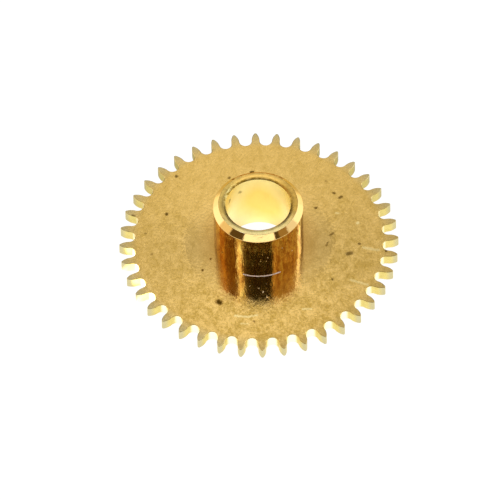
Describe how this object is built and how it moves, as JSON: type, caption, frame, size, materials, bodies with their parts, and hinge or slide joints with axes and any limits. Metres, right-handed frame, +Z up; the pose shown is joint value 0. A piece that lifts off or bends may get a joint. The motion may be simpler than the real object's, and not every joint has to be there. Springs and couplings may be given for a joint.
{
  "type": "hour wheel",
  "caption": "Flat toothed brass wheel riveted on an upright brass pipe with a through bore. It turns on a cannon pinion and carries the hour hand.",
  "frame": {"origin": "on the bore's axis, at the underside of the wheel plate", "axes": "+Z up the pipe towards the hour hand, +X through the middle of a tooth, and +Y through the middle of another"},
  "size_m": [0.0062, 0.0062, 0.0016],
  "materials": {
    "lapped_brass": "lapped, a slightly grainy mirror",
    "polished_brass": "turned and polished"
  },
  "bodies": {
    "root": {"wheel_plate": "lapped_brass", "hour_pipe": "polished_brass"}
  },
  "joints": []
}
